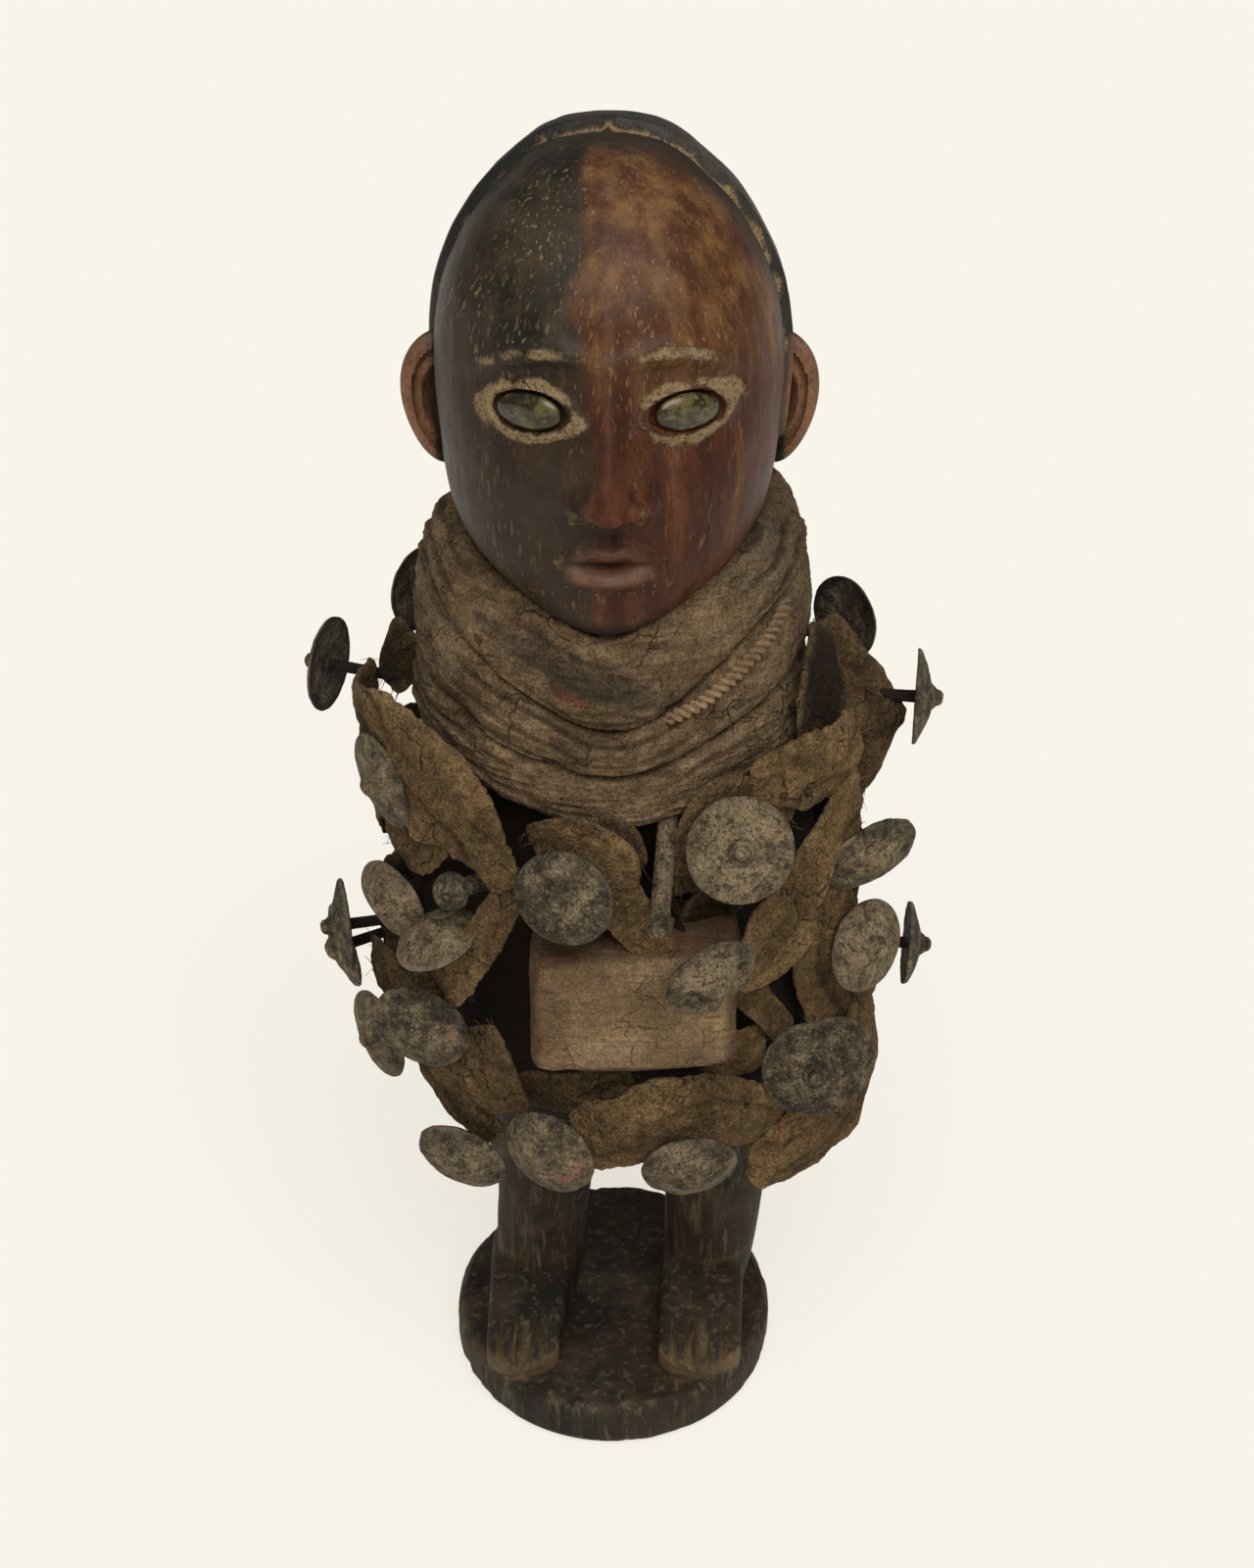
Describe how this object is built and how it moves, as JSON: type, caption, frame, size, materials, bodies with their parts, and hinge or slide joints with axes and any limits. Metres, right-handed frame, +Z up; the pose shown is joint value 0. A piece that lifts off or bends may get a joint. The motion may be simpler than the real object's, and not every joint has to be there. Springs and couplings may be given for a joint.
{
  "type": "nkisi nduda figure",
  "caption": "Carved standing figure on a round base with a bound neck, a belly box, strips of hide around the trunk and domed nails driven in all round.",
  "frame": {"origin": "centre of the base's underside", "axes": "+Z up, -Y to the front where the figure faces, +X to the right of a viewer in front of it"},
  "size_m": [0.1634, 0.1304, 0.3495],
  "materials": {
    "wood": "dark worn patina",
    "glass": "glossy, backed with pale pigment",
    "cloth": "dusty, encrusted",
    "cord_fibre": "twisted, dry",
    "box_crust": "dusty, encrusted",
    "iron": "rusted, dusty",
    "hide": "dusty, encrusted"
  },
  "bodies": {
    "root": {"nail_left_shoulder_back": "iron", "nail_left_shoulder": "iron", "nail_left_chest_upper": "iron", "nail_left_chest": "iron", "nail_left_side_outer": "iron", "nail_left_side_lower": "iron", "nail_left_breast": "iron", "nail_left_belly": "iron", "nail_left_hip_back": "iron", "nail_chest_middle": "iron", "nail_chest_right": "iron", "nail_right_side_upper": "iron", "nail_right_shoulder": "iron", "nail_right_shoulder_back": "iron", "nail_right_side_middle": "iron", "nail_right_side_outer": "iron", "nail_right_hip": "iron", "nail_right_hip_back": "iron", "nail_box_corner": "iron", "nail_left_hem": "iron", "nail_middle_hem": "iron", "nail_right_hem": "iron", "nail_back_left": "iron", "nail_back_right": "iron", "nail_back_low": "iron", "bolt_chest": "iron", "bolt_left_chest": "iron", "glass_eye_left": "glass", "glass_eye_right": "glass", "carved_figure": "wood", "belly_box": "box_crust", "neck_wrap_lower": "cloth", "neck_wrap_middle": "cloth", "neck_wrap_upper": "cloth", "twisted_cord": "cord_fibre", "strip_left_shoulder": "hide", "strip_left_shoulder_back": "hide", "strip_right_shoulder": "hide", "strip_right_shoulder_inner": "hide", "strip_right_knot": "hide", "strip_long_twisted": "hide", "strip_chest_curved": "hide", "strip_chest_flap": "hide", "strip_chest_right": "hide", "strip_chest_inner": "hide", "strip_left_breast": "hide", "strip_left_knot": "hide", "strip_left_side": "hide", "strip_left_hip": "hide", "strip_left_loop": "hide", "strip_under_box": "hide", "strip_bottom_large": "hide", "strip_lower_right_fold": "hide", "strip_right_inner": "hide", "strip_right_side": "hide", "strip_right_hip": "hide", "strip_left_back": "hide", "strip_left_back_lower": "hide", "strip_right_back": "hide", "strip_right_back_lower": "hide"}
  },
  "joints": []
}
